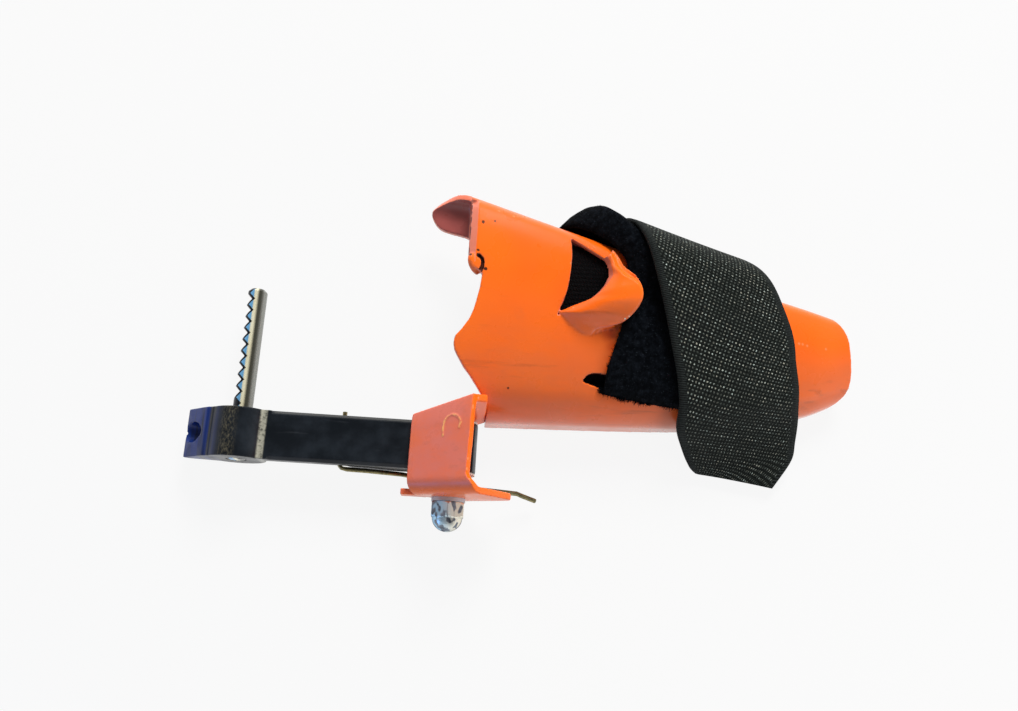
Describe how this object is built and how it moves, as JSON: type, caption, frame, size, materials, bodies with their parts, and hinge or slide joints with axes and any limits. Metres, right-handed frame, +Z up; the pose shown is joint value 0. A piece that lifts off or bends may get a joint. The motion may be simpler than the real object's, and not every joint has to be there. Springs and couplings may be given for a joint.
{
  "type": "rope grab",
  "caption": "Strap-on steel cuff with a bracket that carries a sprung swing arm and a height-adjustable notched post.",
  "frame": {"origin": "centre of the bounding box, at its bottom", "axes": "+Z up from the cuff's straight edge to its crest, +X from the set screw's nose to the cuff's narrow end, +Y along the pivot bolt from the dome nut towards the post's top"},
  "size_m": [0.2764, 0.1412, 0.045],
  "materials": {
    "orange_paint": "gloss powder coat",
    "black_finish": "satin black oxide",
    "zinc_steel": "bright zinc plate",
    "plated_steel": "bright pale plate",
    "yellow_zinc": "yellow zinc plate",
    "loop_tape": "napped loop pile",
    "hook_tape": "woven back with selvages",
    "thread": "sewing thread",
    "nylon": "moulded"
  },
  "bodies": {
    "cuff": {"cuff_shell": "orange_paint", "pivot_bracket": "orange_paint", "weld_beads": "orange_paint", "pivot_bolt": "zinc_steel", "pivot_bush": "zinc_steel", "thrust_washer_upper": "nylon", "thrust_washer_lower": "nylon", "lock_washer": "zinc_steel", "dome_nut": "zinc_steel", "torsion_spring": "yellow_zinc", "strap_loop_tape": "loop_tape", "strap_hook_tape": "hook_tape", "strap_stitching": "thread"},
    "arm": {"swing_arm": "black_finish", "spring_leg": "yellow_zinc"},
    "post": {"toothed_pin": "plated_steel"},
    "screw": {"set_screw": "zinc_steel"}
  },
  "joints": [
    {"name": "arm_swing", "type": "hinge", "parent": "cuff", "child": "arm", "pos_m": [-0.03075, -0.03666, 0.0128], "axis": [0, -1, 0], "range_deg": [0, 95], "stiffness_Nm_per_rad": 0.15, "springref_deg": -85.94},
    {"name": "post_height", "type": "slide", "parent": "arm", "child": "post", "axis": [0, -1, 0], "range_m": [0, 0.045]},
    {"name": "screw_back_off", "type": "slide", "parent": "arm", "child": "screw", "axis": [-1, 0, 0], "range_m": [0, 0.004]}
  ]
}
